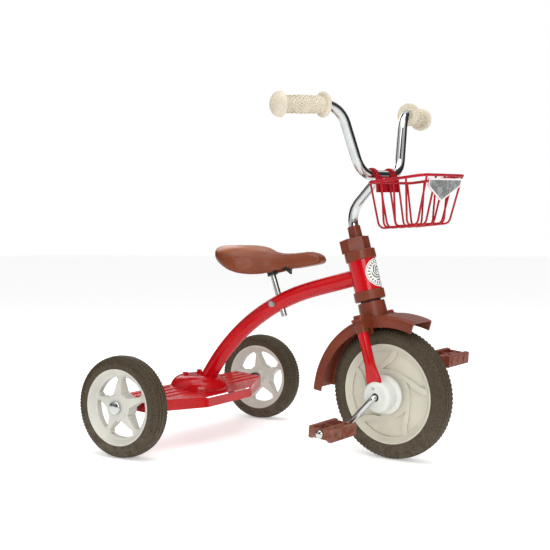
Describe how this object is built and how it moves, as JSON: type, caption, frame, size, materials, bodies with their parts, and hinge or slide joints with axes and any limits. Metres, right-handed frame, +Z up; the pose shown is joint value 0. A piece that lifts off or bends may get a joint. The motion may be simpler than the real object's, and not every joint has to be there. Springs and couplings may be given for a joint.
{
  "type": "tricycle",
  "caption": "Child's pedal tricycle with an arched tube frame, a padded saddle, a wire-style basket on the handlebar, a mudguard over the front wheel and a footboard over the rear axle.",
  "frame": {"origin": "on the ground, centred under the tricycle's bounding box", "axes": "+X forward, the way it is ridden; +Y to the rider's left, along the rear axle; +Z up"},
  "size_m": [0.6884, 0.5684, 0.7005],
  "materials": {
    "red_paint": "gloss",
    "chrome": "polished",
    "zinc": "satin zinc plate",
    "dark_bracket": "satin black",
    "saddle_vinyl": "satin grained vinyl",
    "cream_plastic": "satin",
    "brown_plastic": "semi-gloss",
    "red_plastic": "gloss",
    "white_plastic": "semi-gloss",
    "black_plastic": "satin",
    "tyre_rubber": "matte, fine tread",
    "badge_print": "printed"
  },
  "bodies": {
    "frame": {"main_tube": "red_paint", "head_tube": "red_paint", "head_cup_upper": "brown_plastic", "head_cup_lower": "brown_plastic", "head_badge": "badge_print", "rear_step": "red_paint", "step_bolts": "red_paint", "step_nuts": "zinc", "rear_axle": "zinc", "axle_spacer_left": "black_plastic", "axle_spacer_right": "black_plastic", "hub_cap_left": "chrome", "hub_cap_right": "chrome", "seat_bolt": "zinc", "seat_nut": "zinc"},
    "seat": {"seat_post": "zinc", "seat": "saddle_vinyl", "seat_bracket": "dark_bracket"},
    "steering": {"steerer": "red_paint", "thrust_washer": "black_plastic", "fork_bridge": "red_paint", "fork_blade_left": "red_paint", "fork_blade_right": "red_paint", "hub_cover_left": "white_plastic", "hub_cover_right": "white_plastic", "wheel_bush_left": "black_plastic", "wheel_bush_right": "black_plastic", "cover_screws": "zinc", "mudguard": "brown_plastic", "steering_nut": "brown_plastic", "stem_sleeve": "brown_plastic", "stem": "chrome", "handlebar": "chrome", "grip_left": "cream_plastic", "grip_right": "cream_plastic"},
    "basket": {"basket": "red_plastic", "basket_badge": "badge_print"},
    "front_wheel": {"front_wheel": "cream_plastic", "front_tyre": "tyre_rubber", "crank": "chrome", "pin_cap_left": "chrome", "pin_cap_right": "chrome"},
    "pedal_left": {"pedal_left": "brown_plastic"},
    "pedal_right": {"pedal_right": "brown_plastic"},
    "rear_wheel_left": {"rear_rim_left": "cream_plastic", "rear_tyre_left": "tyre_rubber", "rear_bush_left": "black_plastic"},
    "rear_wheel_right": {"rear_rim_right": "cream_plastic", "rear_tyre_right": "tyre_rubber", "rear_bush_right": "black_plastic"}
  },
  "joints": [
    {"name": "seat_height", "type": "slide", "parent": "frame", "child": "seat", "axis": [-0.309, 0, 0.9511], "range_m": [-0.012, 0.03]},
    {"name": "steering_turn", "type": "hinge", "parent": "frame", "child": "steering", "pos_m": [0.2113, 0, 0.127], "axis": [-0.2463, 0, 0.9692], "range_deg": [-36.31, 53.69]},
    {"name": "basket_tilt", "type": "hinge", "parent": "steering", "child": "basket", "pos_m": [0.19383, -0.01315, 0.54505], "axis": [0.1464, 0.9885, 0.0372], "range_deg": [-50, 12]},
    {"name": "front_wheel_spin", "type": "hinge", "parent": "steering", "child": "front_wheel", "pos_m": [0.2113, 0, 0.127], "axis": [0.1464, 0.9885, 0.0372], "continuous": true},
    {"name": "pedal_left_spin", "type": "hinge", "parent": "front_wheel", "child": "pedal_left", "pos_m": [0.2736, 0.07707, 0.18582], "axis": [0.1464, 0.9885, 0.0372], "continuous": true},
    {"name": "pedal_right_spin", "type": "hinge", "parent": "front_wheel", "child": "pedal_right", "pos_m": [0.149, -0.07707, 0.06818], "axis": [0.1464, 0.9885, 0.0372], "continuous": true},
    {"name": "rear_wheel_left_spin", "type": "hinge", "parent": "frame", "child": "rear_wheel_left", "pos_m": [-0.2447, 0, 0.0995], "axis": [0, 1, 0], "continuous": true},
    {"name": "rear_wheel_right_spin", "type": "hinge", "parent": "frame", "child": "rear_wheel_right", "pos_m": [-0.2447, 0, 0.0995], "axis": [0, 1, 0], "continuous": true}
  ]
}
